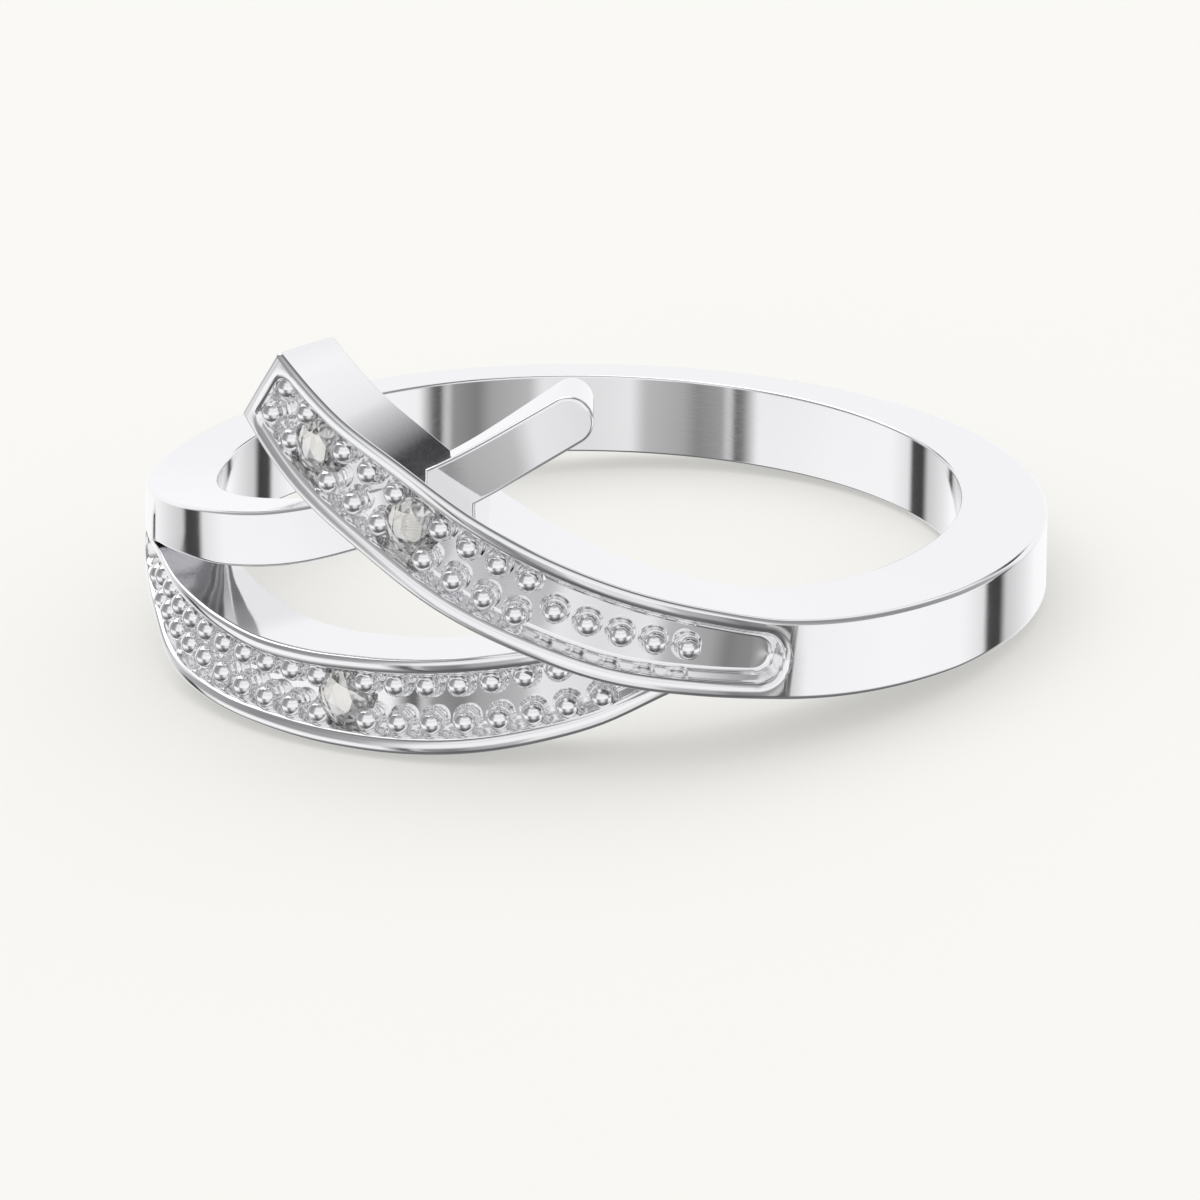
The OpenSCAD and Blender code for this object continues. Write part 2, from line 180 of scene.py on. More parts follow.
# Beads, counted from the arm's free end and from the lower arm's stone
ARM_RUNS = (2, 3, 4)
ARM_SINGLES = 5
FIRST_BEAD = 0.62
LOWER_LEFT = 10
LOWER_RIGHT = 8
LOWER_STONE_ANGLE = -11

# Roundings of the polished metal
BAND_EDGE = 0.13
ARM_EDGE = 0.12
STRAND_EDGE = 0.09
INNER_EDGE = 0.06
RIM_ROUND = 0.52
WALL_LEAN = 0.05
FLOOR_ROUND = 0.14

# Half width left at the tab's rounded end
TIP = 0.01

# Hair's breadth between the inner faces of strips that overlap
INNER_PARTING = 0.003

# A distance that no end of a strip comes near
FAR = 9

# Sections: usual step, least step, and reach either side when a slope is measured, in degrees
ANGLE_STEP = 1.5
LEAST_STEP = 0.0015
SLOPE_REACH = 0.5

# How far beyond the fork the two strips' own roundings are complete, in degrees
FORK_PARTED = 5

# Angles at which the upper arm's section turns upright and its edges grow into the band's
ARM_UPRIGHT_FROM = 40
ARM_EDGE_ANGLES = (34, 66)
BACK_ANGLE = 180

# Angles at which the strand's climb, its lean and its middle columns settle beyond the fork
STRAND_CLIMB_ANGLES = (FORK - 20, FORK + 2)
STRAND_LEAN_TO = FORK + 30
STRAND_MIDDLE_TO = FORK + 16

# Angles by which the lower strip's edge and its middle columns suit its channel
LOWER_EDGE_TO = LOWER_CHANNEL_FROM - 1
LOWER_MIDDLE_TO = LOWER_CHANNEL_FROM - 3


def row_at(table, x):
    """Index of the table's last row at or before x, but for its end row."""
    i = 0
    while i < len(table) - 2 and x >= table[i + 1][0]:
        i += 1
    return i


def slope_at(table, c, i):
    """Slope of a table's column at a row: level where the column turns."""
    a, b = max(i - 1, 0), min(i + 1, len(table) - 1)
    turns = a < i < b and (table[i][c] - table[a][c]) * (table[b][c] - table[i][c]) <= 0
    return 0 if turns else (table[b][c] - table[a][c]) / (table[b][0] - table[a][0])


def smooth(table, c, x):
    """Smooth curve through a table's column."""
    i = row_at(table, x)
    h = table[i + 1][0] - table[i][0]
    u = min(1, max(0, (x - table[i][0]) / h))
    v = 1 - u
    ends = table[i][c] * v * v * (1 + 2 * u) + table[i + 1][c] * u * u * (3 - 2 * u)
    return ends + h * u * v * (v * slope_at(table, c, i) - u * slope_at(table, c, i + 1))


def ramp(x, start, end):
    """Eases from 0 at the start to 1 at the end."""
    u = min(1, max(0, (x - start) / (end - start)))
    return u * u * (3 - 2 * u)


def sind(x):
    return math.sin(math.radians(x))


def cosd(x):
    return math.cos(math.radians(x))


def band_r(a):
    """Outer radius of the band, whose outside is round about a shifted centre."""
    side = OUTER_SHIFT * sind(a - THICK_ANGLE)
    return OUTER_SHIFT * cosd(a - THICK_ANGLE) + math.sqrt(OUTER_R**2 - side**2)


def soft_min(a, b, k):
    """The smaller of two values, eased where they differ by less than k."""
    h = max(k - abs(a - b), 0) / k
    return min(a, b) - h * h * k / 4


# The trunk is the band on the left, before and at the fork


def trunk_top(a):
    return BAND_H + FORK_LIFT * smooth(FORK_RISE, 1, a)


def trunk_low(a):
    return -LOWER_DROP * smooth(FORK_RISE, 2, a)


def trunk_r(a):
    return BORE_R + soft_min(band_r(a) - BORE_R, STRAND_WALL, WALL_BLEND)


FORK_Z = FORK_SHARE * BAND_H
FORK_R = trunk_r(FORK)
STRAND_START = (trunk_top(FORK) + FORK_Z) / 2
STRAND_START_W = trunk_top(FORK) - FORK_Z
FORK_LOWER_H = FORK_Z - trunk_low(FORK)


class Strip:
    """One strip of metal: its middle line, its height and radius, its lean and its roundings."""

    first, last = 0, 0
    inner_lift = 0

    def climb(self, a):
        """Angle at which the middle line climbs."""
        b = min(max(a, self.first + SLOPE_REACH), self.last - SLOPE_REACH)
        rise = self.mid(b + SLOPE_REACH) - self.mid(b - SLOPE_REACH)
        return math.degrees(math.atan2(rise, math.radians(self.radius(b) * 2 * SLOPE_REACH)))

    def lean(self, a):
        """Angle at which the section leans from upright."""
        return 0

    def across(self, a):
        """Turns a length along the section into a width square to the strip."""
        return cosd(self.climb(a) - self.lean(a))

    def half(self, a):
        """Half the strip's height, along its leaning section."""
        return self.width(a) / 2 / self.across(a)

    def centre(self, a):
        """Where the hidden middle columns of the section lie."""
        return 0

    def rim(self, a):
        return RIM_W

    def channel_ends(self, a):
        """Distance inside the channel from its nearest end, and that end's corner radius."""
        return -1, 0

    def outline_end(self, a):
        """Distance from the strip's free end, and its form."""
        return FAR, "none"

    def inner_edges(self, a):
        return INNER_EDGE, INNER_EDGE

    def arc(self, a, b):
        m = (a + b) / 2
        return (b - a) * math.radians(self.radius(m)) / cosd(self.climb(m))

    def after(self, a, d):
        """Angle reached after a distance along the strip."""
        m = a + d / 2 / math.radians(self.radius(a)) * cosd(self.climb(a))
        return a + d / math.radians(self.radius(m)) * cosd(self.climb(m))

    def place(self, a, v, r):
        """Point of the upright ring: angle, distance across from the middle line, radius."""
        t = self.lean(a)
        b = a - math.degrees(v * sind(t) / self.radius(a))
        return Vector((r * sind(b), -r * cosd(b), self.mid(a) + v * cosd(t)))


class UpperArm(Strip):
    """The upper arm and the band behind it, as far as the left side."""

    first, last = ARM_END, 360 + SPLIT

    def mid(self, a):
        return BAND_MID + ARM_RISE * (smooth(ARM, 1, a) if a < ARM_ROOT else 0)

    def width(self, a):
        return BAND_H + (ARM_W - BAND_H) * (smooth(ARM, 2, a) if a < ARM_ROOT else 0)

    def radius(self, a):
        share = smooth(ARM, 3, a) if a < ARM_ROOT else 1
        return BORE_R + (band_r(a) - BORE_R) * share

    def lean(self, a):
        return self.climb(a) * (1 - ramp(a, ARM_UPRIGHT_FROM, ARM_ROOT))

    def edges(self, a):
        f = ARM_EDGE + (BAND_EDGE - ARM_EDGE) * ramp(a, *ARM_EDGE_ANGLES)
        return f, f

    def centre(self, a):
        return (FORK_Z - BAND_MID) * ramp(a, BACK_ANGLE, self.last)

    def channel_ends(self, a):
        left = self.arc(self.channel_from, a)
        right = self.arc(a, ARM_CHANNEL_TO)
        return (left, CORNER_R) if left < right else (right, FULL_ROUND)

    def outline_end(self, a):
        return self.arc(ARM_END, a), "square"

    @property
    def channel_from(self):
        return self.after(ARM_END, ARM_CHANNEL_END_RIM)


class PlainStrand(Strip):
    """The band's upper half on the left, and the plain strand with its rounded tab."""

    first, last = SPLIT, TAB_END
    inner_lift = 2 * INNER_PARTING

    def mid(self, a):
        if a < FORK:
            return (trunk_top(a) + FORK_Z) / 2
        return STRAND_START + (BAND_MID + TAB_RISE - STRAND_START) * smooth(STRAND, 1, a)

    def width(self, a):
        if a < FORK:
            return (trunk_top(a) - FORK_Z) * self.across(a)
        grown = STRAND_START_W + (STRAND_W - STRAND_START_W) * smooth(STRAND, 2, a)
        return grown * self.across(a)

    def radius(self, a):
        return trunk_r(a) if a < FORK else BORE_R + (FORK_R - BORE_R) * smooth(STRAND, 3, a)

    def climb(self, a):
        beyond_fork = super().climb(max(a, FORK + SLOPE_REACH))
        return beyond_fork * ramp(a, *STRAND_CLIMB_ANGLES)

    def lean(self, a):
        return self.climb(a) * ramp(a, FORK, STRAND_LEAN_TO)

    def edges(self, a):
        parted = ramp(a, FORK, FORK + FORK_PARTED)
        high = BAND_EDGE + (STRAND_EDGE - BAND_EDGE) * ramp(a, SPLIT, FORK)
        return STRAND_EDGE * parted, high

    def inner_edges(self, a):
        return INNER_EDGE * ramp(a, FORK, FORK + FORK_PARTED), INNER_EDGE

    def centre(self, a):
        return -self.half(a) * (1 - ramp(a, FORK, STRAND_MIDDLE_TO))

    def outline_end(self, a):
        return self.arc(a, TAB_END), "round"


class LowerArm(Strip):
    """The band's lower half on the left, and the channelled lower arm."""

    first, last = SPLIT, JOINT
    inner_lift = INNER_PARTING

    def low(self, a):
        joint_low = UPPER.mid(JOINT) - UPPER.width(JOINT) / 2 + INSET
        return joint_low * smooth(LOWER, 2, a) - LOWER_DROP * smooth(LOWER, 1, a)

    def height(self, a):
        joint_h = UPPER.width(JOINT) - 2 * INSET
        return (
            FORK_LOWER_H * smooth(LOWER, 3, a)
            + LOWER_W * smooth(LOWER, 4, a)
            + joint_h * smooth(LOWER, 5, a)
        )

    def mid(self, a):
        if a < FORK:
            return (FORK_Z + trunk_low(a)) / 2
        return self.low(a) + self.height(a) / 2

    def width(self, a):
        tall = FORK_Z - trunk_low(a) if a < FORK else self.height(a)
        return tall * cosd(self.climb(a))

    def radius(self, a):
        if a < FORK:
            return trunk_r(a)
        return FORK_R + (BORE_R + LOWER_WALL - FORK_R) * smooth(LOWER, 6, a)

    def edges(self, a):
        edge = ARM_EDGE * self.rim(a) / RIM_W
        low = BAND_EDGE + (edge - BAND_EDGE) * ramp(a, SPLIT, LOWER_EDGE_TO)
        return low, edge * ramp(a, FORK, FORK + FORK_PARTED)

    def inner_edges(self, a):
        return INNER_EDGE, INNER_EDGE * ramp(a, FORK, FORK + FORK_PARTED)

    def centre(self, a):
        return self.half(a) * (1 - ramp(a, SPLIT, LOWER_MIDDLE_TO))

    def rim(self, a):
        return RIM_W * smooth(ROWS, 1, a)

    def channel_ends(self, a):
        return self.arc(LOWER_CHANNEL_FROM, a), FULL_ROUND


UPPER = UpperArm()
STRAND_STRIP = PlainStrand()
LOWER_STRIP = LowerArm()


def inner_r(z):
    """The finger hole opens out a little above and below the band."""
    return BORE_R + max(0, z - BAND_H, -z) * math.tan(math.radians(ARM_FLARE))


def edge_depth(d, f):
    """How far a rounded edge of radius f falls at distance d from the side."""
    return f - math.sqrt(max(0, f * f - (f - d) ** 2)) if d < f else 0


def channel_depth_at(o, g):
    """Depth of the channel at distance o inside its outline; g rounds the rim over it."""
    if o <= -g:
        return 0
    if o <= 0:
        return g - math.sqrt(max(0, g * g - (o + g) ** 2))
    if o <= WALL_LEAN:
        return g + (CHANNEL_DEPTH - FLOOR_ROUND - g) * o / WALL_LEAN
    if o < WALL_LEAN + FLOOR_ROUND:
        left = FLOOR_ROUND - (o - WALL_LEAN)
        return CHANNEL_DEPTH - FLOOR_ROUND + math.sqrt(FLOOR_ROUND**2 - left**2)
    return CHANNEL_DEPTH


def channel_offsets(g):
    """Offsets of the section's columns from the channel's outline, from the rim to the floor."""
    rim = [-g + g * sind(t) for t in (0, 22.5, 45, 67.5, 90)]
    floor = [WALL_LEAN + FLOOR_ROUND * (1 - cosd(t)) for t in (0, 30, 60, 90)]
    return rim + floor


def round_end(half, left, r):
    """Half width of an outline at a distance from its end, whose corners have radius r."""
    if left <= 0 or half <= 0:
        return 0
    r = max(0, min(r, half))
    return half if left >= r else half - r + math.sqrt(max(0, r * r - (r - left) ** 2))


EDGE_TURNS = (0, 22.5, 45, 67.5, 90)
INNER_TURNS = (0, 30, 60, 90)


def section(strip, a):
    """One closed ring of points round the strip, from its lower outer edge over its face."""
    q = strip.across(a)
    half = strip.half(a) * q
    end, form = strip.outline_end(a)
    mid_v = strip.centre(a)
    outer = strip.radius(a)
    low_edge, high_edge = strip.edges(a)
    beyond = max(end, 0)
    # A square end is rounded over alike on its face, its sides and its inner side
    fallen = edge_depth(beyond, ARM_EDGE) if form == "square" else 0

    def half_at(d):
        if form == "round":
            return max(TIP, round_end(half - d, end - d, half - d))
        if form == "square":
            return max(0, half - fallen - d)
        return half - d

    def edge(f, side):
        points = []
        for t in EDGE_TURNS:
            d = f * (1 - cosd(t))
            points.append((side * half_at(d) / q, outer - edge_depth(min(d, beyond), f)))
        return points

    g = RIM_ROUND * strip.rim(a)
    inside, corner = strip.channel_ends(a)
    channel_half = half - strip.rim(a)
    face = []
    for o in channel_offsets(g):
        turn = corner if corner == FULL_ROUND else corner - o
        v = round_end(channel_half - o, inside - o, turn)
        face.append((v / q, outer - max(channel_depth_at(min(o, inside), g), fallen)))
    floor = max(channel_depth_at(min(ON_FLOOR, inside), g), fallen)
    if form == "round":
        floor = edge_depth(beyond, high_edge)
        face = [(0, outer - floor)] * len(face)

    ring = edge(low_edge, -1)
    ring += [(mid_v - v, r) for v, r in face]
    ring += [(mid_v, outer - floor)]
    ring += [(mid_v + v, r) for v, r in reversed(face)]
    ring += list(reversed(edge(high_edge, 1)))
    points = [strip.place(a, v, r) for v, r in ring]

    low_inner, high_inner = strip.inner_edges(a)
    lift = fallen + strip.inner_lift * ramp(a, FORK, FORK + 2 * FORK_PARTED)

    def inside_edge(f, side):
        result = []
        for t in INNER_TURNS:
            v = side * max(0, half_at(0) - f * (1 - cosd(t))) / q
            z = strip.place(a, v, outer).z
            result.append(strip.place(a, v, inner_r(z) + lift + f * (1 - sind(t))))
        return result

    points += inside_edge(high_inner, 1)
    z = strip.place(a, mid_v, outer).z
    points.append(strip.place(a, mid_v, inner_r(z) + lift))
    points += list(reversed(inside_edge(low_inner, -1)))
    return points


def stations(strip, ends=()):
    """Angles of a strip's sections: even steps, and close ones wherever an outline turns."""
    count = round((strip.last - strip.first) / ANGLE_STEP)
    angles = [strip.first + (strip.last - strip.first) * i / count for i in range(count + 1)]
    for start, way, marks in ends:
        angles += [strip.after(start, way * d) for d in marks]
    angles = sorted(a for a in angles if strip.first <= a <= strip.last)
    kept = [angles[0]]
    for a in angles[1:]:
        if a - kept[-1] > LEAST_STEP:
            kept.append(a)
    kept[-1] = strip.last
    return kept


# Distances beyond each line of a channel's end wall at which sections lie
WALL_MARKS = (0.0006, 0.005, 0.014)
MARK_BEFORE = 0.02
CORNER_STEPS = 24


def channel_marks(r):
    """Distances from a channel's end at which its rounded outline and its wall are drawn."""
    g = RIM_ROUND * RIM_W
    marks = [-g - MARK_BEFORE] + [r * i / CORNER_STEPS for i in range(1, CORNER_STEPS + 1)]
    for o in channel_offsets(g):
        marks += [o + d for d in WALL_MARKS]
    return marks


def deselect():
    if bpy.context.object and bpy.context.object.mode != "OBJECT":
        bpy.ops.object.mode_set(mode="OBJECT")
    bpy.ops.object.select_all(action="DESELECT")


def pick(*pieces):
    deselect()
    for piece in pieces:
        piece.select_set(True)
    bpy.context.view_layer.objects.active = pieces[0]


def wrap(name, rings, skip=None):
    """A grid primitive wrapped round the strip's sections; its seam is welded with the strips."""
    deselect()
    around = len(rings[0])
    bpy.ops.mesh.primitive_grid_add(x_subdivisions=around, y_subdivisions=len(rings) - 1, size=1)
    sheet = bpy.context.object
    sheet.name = name
    for i, vertex in enumerate(sheet.data.vertices):
        row, column = divmod(i, around + 1)
        vertex.co = rings[row][column % around]
    if skip:
        bpy.ops.object.mode_set(mode="EDIT")
        bpy.ops.mesh.select_mode(type="FACE")
        bpy.ops.mesh.select_all(action="DESELECT")
        bpy.ops.object.mode_set(mode="OBJECT")
        for face in sheet.data.polygons:
            corners = [divmod(i, around + 1) for i in face.vertices]
            row, column = min(c[0] for c in corners), min(c[1] for c in corners)
            face.select = skip(row, column)
        bpy.ops.object.mode_set(mode="EDIT")
        bpy.ops.mesh.delete(type="FACE")
        bpy.ops.object.mode_set(mode="OBJECT")
    return sheet


def strip_metal(name, strip, angles, shared_wall=None):
    """A strip's skin, left open up to the fork where the other strip lies against it."""

    def between_strips(row, column):
        return angles[row + 1] <= FORK + LEAST_STEP / 10 and column == shared_wall

    rings = [section(strip, a) for a in angles]
    return wrap(name, rings, between_strips if shared_wall else None)


# Columns of a section, and which of them are the strip's upper and lower side
OUTER_COUNT = 2 * len(EDGE_TURNS) + 2 * len(channel_offsets(RIM_ROUND * RIM_W)) + 1
INNER_COUNT = 2 * len(INNER_TURNS) + 1
HIGH_WALL = OUTER_COUNT - 1
LOW_WALL = OUTER_COUNT + INNER_COUNT - 1

# Distance from a round end over which it is drawn, and close marks at the tab's tip
ROUND_REACH = 0.6
TAB_MARKS = (0.001, 0.02, 0.05)

# Points closer than WELD are one, and faces thinner than SLIVER go
WELD = 0.0004
SLIVER = 0.0002


def strips(seats):
    """The upper arm and band, the strand and the lower arm, welded into one skin."""
    arm_angles = stations(
        UPPER,
        [
            (ARM_END, 1, [ARM_EDGE * (1 - cosd(t)) for t in (15, 30, 45, 60, 75, 90)]),
            (UPPER.channel_from, 1, channel_marks(CORNER_R)),
            (ARM_CHANNEL_TO, -1, channel_marks(ROUND_REACH)),
        ],
    )
    lower_angles = stations(
        LOWER_STRIP, [(FORK, 1, [0]), (LOWER_CHANNEL_FROM, 1, channel_marks(ROUND_REACH))]
    )
    tab = [ROUND_REACH * (1 - cosd(t)) for t in range(2, 91, 4)] + list(TAB_MARKS)
    strand_angles = stations(STRAND_STRIP, [(FORK, 1, [0]), (TAB_END, -1, tab)])
    # As far as the fork the strand and the lower arm share their sections
    strand_angles = [a for a in lower_angles if a < FORK] + [a for a in strand_angles if a >= FORK]
    arm = strip_metal("upper_arm", UPPER, arm_angles)
    strand = strip_metal("plain_strand", STRAND_STRIP, strand_angles, LOW_WALL)
    lower = strip_metal("lower_arm", LOWER_STRIP, lower_angles, HIGH_WALL)
    cut_seat(arm, seats["arm_end"])
    cut_seat(arm, seats["arm_middle"])
    cut_seat(lower, seats["lower_arm"])
    pick(arm, strand, lower)
    bpy.ops.object.join()
    bpy.ops.object.mode_set(mode="EDIT")
    bpy.ops.mesh.select_all(action="SELECT")
    bpy.ops.mesh.remove_doubles(threshold=WELD)
    bpy.ops.mesh.dissolve_degenerate(threshold=SLIVER)
    bpy.ops.mesh.select_all(action="DESELECT")
    bpy.ops.mesh.select_mode(type="EDGE")
    bpy.ops.mesh.select_non_manifold(
        extend=False,
        use_wire=False,
        use_multi_face=False,
        use_non_contiguous=False,
        use_verts=False,
    )
    bpy.ops.mesh.fill_holes(sides=0)
    bpy.ops.mesh.select_all(action="SELECT")
    bpy.ops.mesh.normals_make_consistent(inside=False)
    bpy.ops.object.mode_set(mode="OBJECT")
    return arm


def walk(strip, a, gaps):
    """Angles of a row that starts at an angle, with a list of gaps between its members."""
    angles = [a]
    for gap in gaps:
        angles.append(strip.after(angles[-1], gap))
    return angles


def upright(strip, a, v=0, lift=0):
    """Frame that stands square on the channel's floor: its Z points away from the finger."""
    t = strip.climb(a)
    b = a - math.degrees(v * sind(t) / strip.radius(a))
    out = Vector((sind(b), -cosd(b), 0))
    along = Vector((cosd(b), sind(b), 0))
    turn = Matrix((along, Vector((0, 0, 1)), out)).transposed().to_4x4()
    base = out * (strip.radius(a) - CHANNEL_DEPTH + lift)
    base.z = strip.mid(a) + v * cosd(t)
    return Matrix.Translation(base) @ turn @ Matrix.Rotation(math.radians(t), 4, "Z")


def bead_places():
    """Where every bead stands, from the arm's free end and from the lower stone outwards."""
    gaps = []
    for i, run in enumerate(ARM_RUNS):
        gaps += [BEAD_PITCH] * (run - 1) + ([STONE_D] if i < len(ARM_RUNS) - 1 else [])
    gaps += [BEAD_PITCH] * ARM_SINGLES
    arm = walk(UPPER, UPPER.after(ARM_END, FIRST_BEAD), gaps)
    places = []
    for i, a in enumerate(arm):
        sides = (-1, 1) if i < sum(ARM_RUNS) else (0,)
        places += [upright(UPPER, a, side * ROW_GAP / 2) for side in sides]

    def row(a, side):
        spread = side * ROW_GAP / 2 * smooth(ROWS, 2, a)
        return upright(LOWER_STRIP, a, spread - LOWER_W * smooth(ROWS, 3, a))

    left = walk(
        LOWER_STRIP,
        LOWER_STRIP.after(LOWER_STONE_ANGLE, -STONE_D / 2),
        [-BEAD_PITCH] * (LOWER_LEFT - 1),
    )
    right = walk(
        LOWER_STRIP,
        LOWER_STRIP.after(LOWER_STONE_ANGLE, STONE_D / 2),
        [BEAD_PITCH] * (LOWER_RIGHT - 1),
    )
    places += [row(a, side) for a in left + right for side in (-1, 1)]
    places.append(row(LOWER_STRIP.after(left[-1], -BEAD_PITCH), 0))
    return places, arm


# A bead's sides and rings, and how far under its widest circle the ball is cut
BEAD_SIDES = 24
BEAD_RINGS = 16
BEAD_CUT = 0.001

# Skirt under a bead's widest circle: drop and radius of each step, down to its foot's edge
BEAD_SKIRT = [
    (0.05, 0.29),
    (0.05, 0.286),
    (0.04, 0.295),
    (0.035, 0.318),
    (0.02, 0.352),
    (0.045, 0.37),
]


def bead():
    """A ball that runs out into a low round foot, as a graver raises it from the floor."""
    deselect()
    widest = BEAD_H - BEAD_D / 2
    bpy.ops.mesh.primitive_uv_sphere_add(
        segments=BEAD_SIDES, ring_count=BEAD_RINGS, radius=BEAD_D / 2, location=(0, 0, widest)
    )
    ball = bpy.context.object
    ball.name = "bead"
    bpy.ops.object.transform_apply(location=True, rotation=True, scale=True)
    bpy.ops.object.mode_set(mode="EDIT")
    bpy.ops.mesh.select_all(action="SELECT")
    cut_at = (0, 0, widest - BEAD_CUT)
    bpy.ops.mesh.bisect(plane_co=cut_at, plane_no=(0, 0, -1), clear_outer=True)
    bpy.ops.mesh.select_all(action="DESELECT")
    bpy.ops.mesh.select_mode(type="EDGE")
    bpy.ops.mesh.select_non_manifold()
    r = BEAD_D / 2
    for drop, wider in BEAD_SKIRT:
        bpy.ops.mesh.extrude_region_move(TRANSFORM_OT_translate={"value": (0, 0, -drop)})
        bpy.ops.transform.resize(value=(wider / r, wider / r, 1), center_override=(0, 0, 0))
        r = wider
    bpy.ops.mesh.fill_holes(sides=0)
    bpy.ops.mesh.select_all(action="SELECT")
    bpy.ops.mesh.normals_make_consistent(inside=False)
    bpy.ops.object.mode_set(mode="OBJECT")
    return ball


def beads(places):
    """Copies of the one bead, joined."""
    pattern = bead()
    copies = []
    for place in places:
        copy = bpy.data.objects.new("bead_copy", pattern.data.copy())
        bpy.context.collection.objects.link(copy)
        copy.data.transform(place)
        copies.append(copy)
    bpy.data.objects.remove(pattern)
    pick(*copies)
    bpy.ops.object.join()
    return bpy.context.object


# A seat's sides and its room round the stone
SEAT_SIDES = 48
SEAT_ROOM = 0.03

# The stone's proportions: its table and depths as shares of its diameter
TABLE_SHARE = 0.57
CROWN_SHARE = 0.15
GIRDLE_SHARE = 0.03
PAVILION_SHARE = 0.43

# Main facets of the crown and of the pavilion, and how the smaller facets tilt beside them
MAIN_FACETS = 8
HALF_STEP = 180 / MAIN_FACETS
STAR_TILT_SHARE = 0.62
UPPER_HALF_STEEPER = 6
LOWER_HALF_STEEPER = 1.6

# Sides of the rod that a stone is cut from, and the points that its cuts leave as one
ROD_SIDES = 64
STONE_WELD = 0.0005


def cut_seat(metal, place):
    """A conical seat under a stone, drilled into the channel's floor."""
    deep = STONE_D * PAVILION_SHARE + SEAT_ROOM
    deselect()
    bpy.ops.mesh.primitive_cone_add(
        vertices=SEAT_SIDES, radius1=SEAT_ROOM, radius2=STONE_D / 2 + SEAT_ROOM, depth=deep
    )
    drill = bpy.context.object
    drill.data.transform(place @ Matrix.Translation((0, 0, -deep / 2)))
    pick(metal)
    cut = metal.modifiers.new("seat", "BOOLEAN")
    cut.operation = "DIFFERENCE"
    cut.solver = "EXACT"
    cut.use_hole_tolerant = True
    cut.object = drill
    bpy.ops.object.modifier_apply(modifier="seat")
    bpy.data.objects.remove(drill)


def brilliant():
    """A round brilliant, cut facet by facet from a short rod, table upwards."""
    r = STONE_D / 2
    girdle = STONE_D * GIRDLE_SHARE / 2
    table = girdle + STONE_D * CROWN_SHARE
    table_r = r * TABLE_SHARE
    culet = -girdle - STONE_D * PAVILION_SHARE
    deselect()
    bpy.ops.mesh.primitive_cylinder_add(vertices=ROD_SIDES, radius=r, depth=2 * STONE_D)
    stone = bpy.context.object
    bpy.ops.object.mode_set(mode="EDIT")

    def cut(point, normal):
        bpy.ops.mesh.select_all(action="SELECT")
        bpy.ops.mesh.bisect(plane_co=point, plane_no=normal, use_fill=True, clear_outer=True)

    def facets(count, turn, radius, z, tilt):
        for i in range(count):
            a = turn + 360 * i / count
            cut(
                (radius * cosd(a), radius * sind(a), z),
                (sind(tilt) * cosd(a), sind(tilt) * sind(a), cosd(tilt)),
            )

    main = math.degrees(math.atan2(table - girdle, r - table_r))
    cut((0, 0, table), (0, 0, 1))
    facets(MAIN_FACETS, 0, r, girdle, main)
    star_tilt = main * STAR_TILT_SHARE
    facets(MAIN_FACETS, HALF_STEP, table_r * cosd(HALF_STEP), table, star_tilt)
    turn = HALF_STEP / 2
    facets(2 * MAIN_FACETS, turn, r * cosd(turn), girdle, main + UPPER_HALF_STEEPER)
    below = 180 - math.degrees(math.atan2(-girdle - culet, r))
    facets(MAIN_FACETS, 0, r, -girdle, below)
    facets(2 * MAIN_FACETS, turn, r * cosd(turn), -girdle, below - LOWER_HALF_STEEPER)
    bpy.ops.mesh.select_all(action="SELECT")
    bpy.ops.mesh.remove_doubles(threshold=STONE_WELD)
    bpy.ops.mesh.normals_make_consistent(inside=False)
    bpy.ops.object.mode_set(mode="OBJECT")
    return stone


def at_rest():
    """Takes the upright ring, in millimetres, to where the part lies, in metres."""
    hole = frame["record"]["mounts"][0]
    axis = Vector(hole["axis"]).normalized()
    tilt = Vector((0, 0, 1)).rotation_difference(axis).to_matrix().to_4x4()
    return (
        Matrix.Translation(Vector(hole["pos_m"]))
        @ tilt
        @ Matrix.Scale(MM, 4)
        @ Matrix.Translation((0, 0, -BAND_MID))
    )


REST = at_rest()


# Materials


def node_group(name, outputs, inputs):
    group = bpy.data.node_groups.new(name, "ShaderNodeTree")
    for label, kind, value in inputs:
        socket = group.interface.new_socket(name=label, in_out="INPUT", socket_type=kind)
        if value is not None:
            socket.default_value = value
    for label, kind in outputs:
        group.interface.new_socket(name=label, in_out="OUTPUT", socket_type=kind)
    return group, group.nodes.new("NodeGroupInput"), group.nodes.new("NodeGroupOutput")


# Handling marks: the fine noise is stretched into lines and is finer than the broad one
LINE_STRETCH = (1.0, 1.0, 9.0)
FINE_TIMES = 6.0
BROAD_SHARE = 0.6
MARKS_RANGE = (0.5, 1.1)


